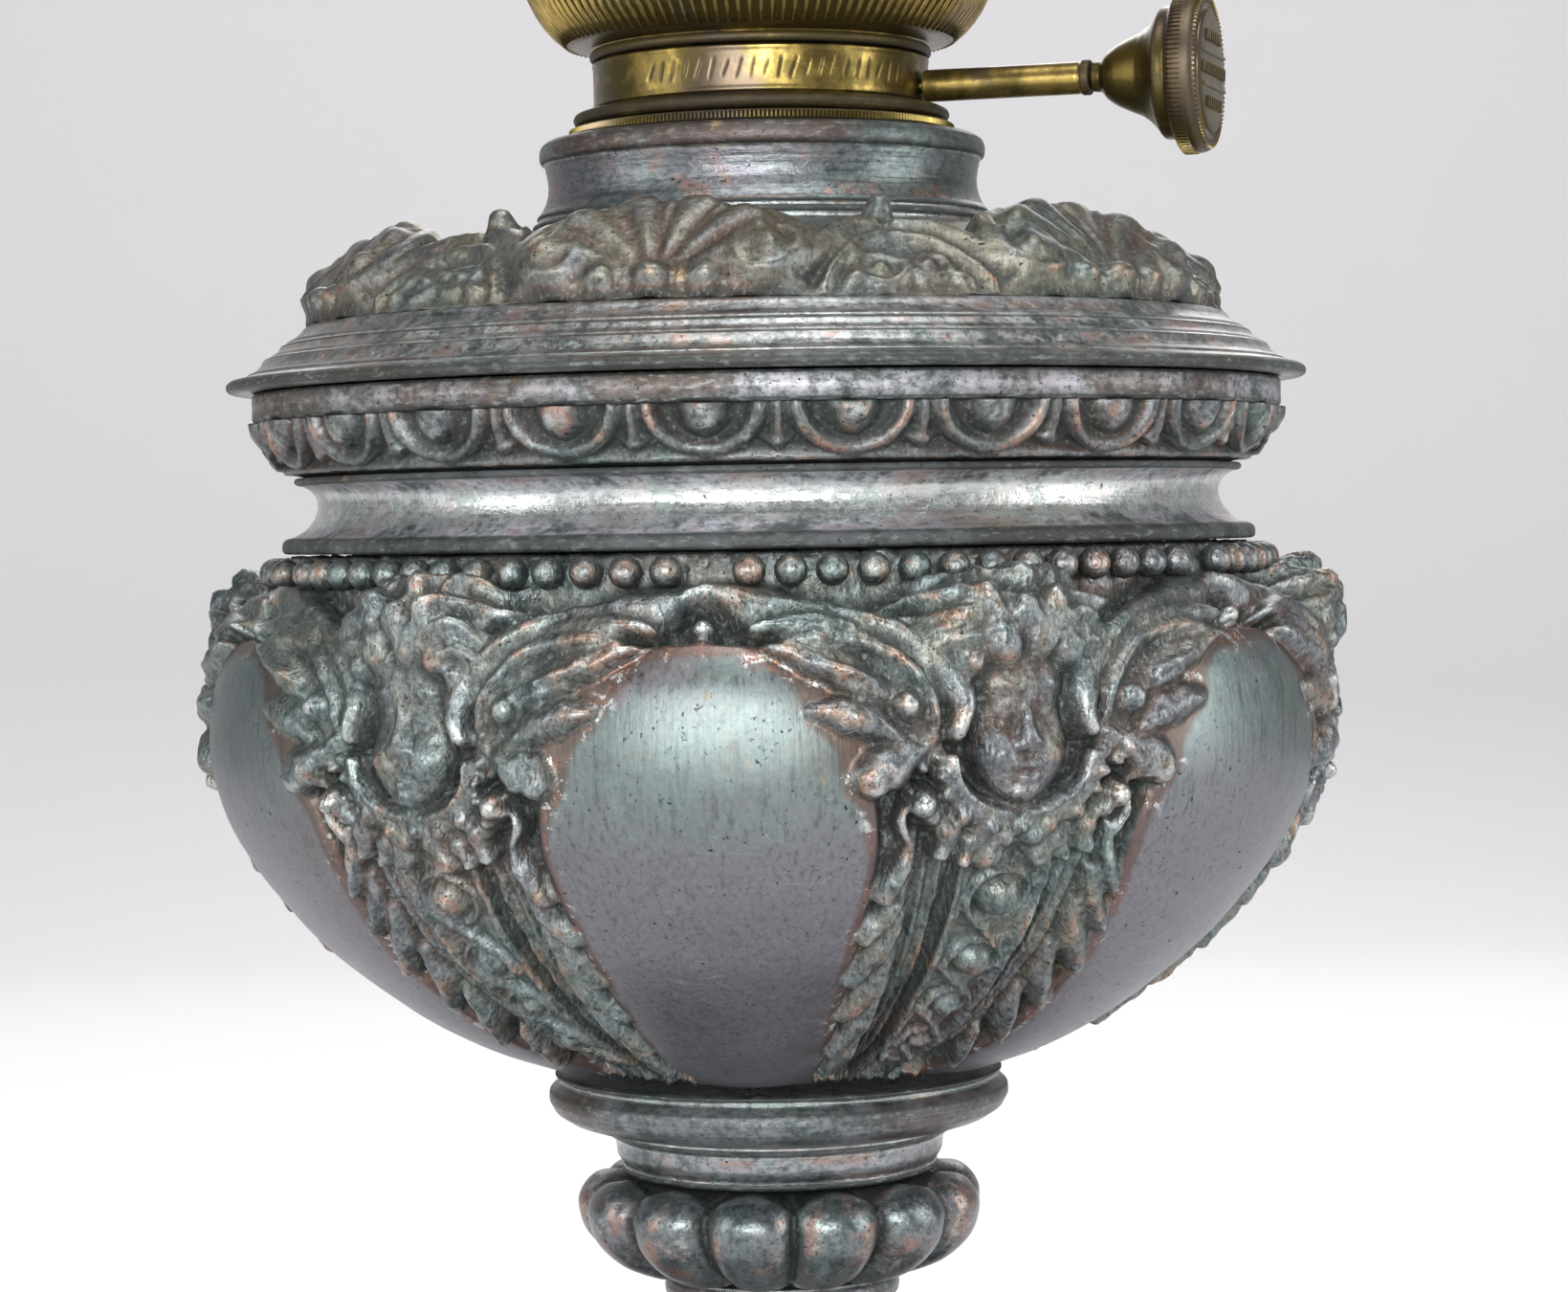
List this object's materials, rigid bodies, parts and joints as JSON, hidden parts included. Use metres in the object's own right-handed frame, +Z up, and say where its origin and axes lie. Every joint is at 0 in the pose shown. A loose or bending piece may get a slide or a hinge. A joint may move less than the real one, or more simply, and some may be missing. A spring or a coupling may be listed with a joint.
{
  "type": "kerosene table lamp",
  "caption": "Footed kerosene lamp with a carved, hollow vase, a domed lid and a brass burner whose side knob turns the wick winder.",
  "frame": {"origin": "centre of the bounding box's underside, on the lamp's own axis, at the plane that the foot stands on", "axes": "+Z up along the lamp's axis; -Y to the front that the picture shows; +X to the side that the winder points to"},
  "size_m": [0.1986, 0.1982, 0.3367],
  "materials": {
    "bronzed_spelter": "cast zinc alloy with a worn, dark grey-green bronze patina",
    "tarnished_brass": "dark olive-gold tarnish with edges rubbed bright"
  },
  "bodies": {
    "lamp": {"foot": "bronzed_spelter", "knop": "bronzed_spelter", "vase": "bronzed_spelter", "lid": "bronzed_spelter", "burner_collar": "tarnished_brass", "burner_drum": "tarnished_brass", "burner_basket": "tarnished_brass", "chimney_gallery": "tarnished_brass", "wick_tube": "tarnished_brass", "winder_sleeve": "tarnished_brass"},
    "winder": {"winder_knob": "tarnished_brass"}
  },
  "joints": [
    {"name": "wick_winder", "type": "hinge", "parent": "lamp", "child": "winder", "pos_m": [0.05659, -0.01839, 0.2856], "axis": [0.9511, -0.309, 0], "continuous": true}
  ]
}
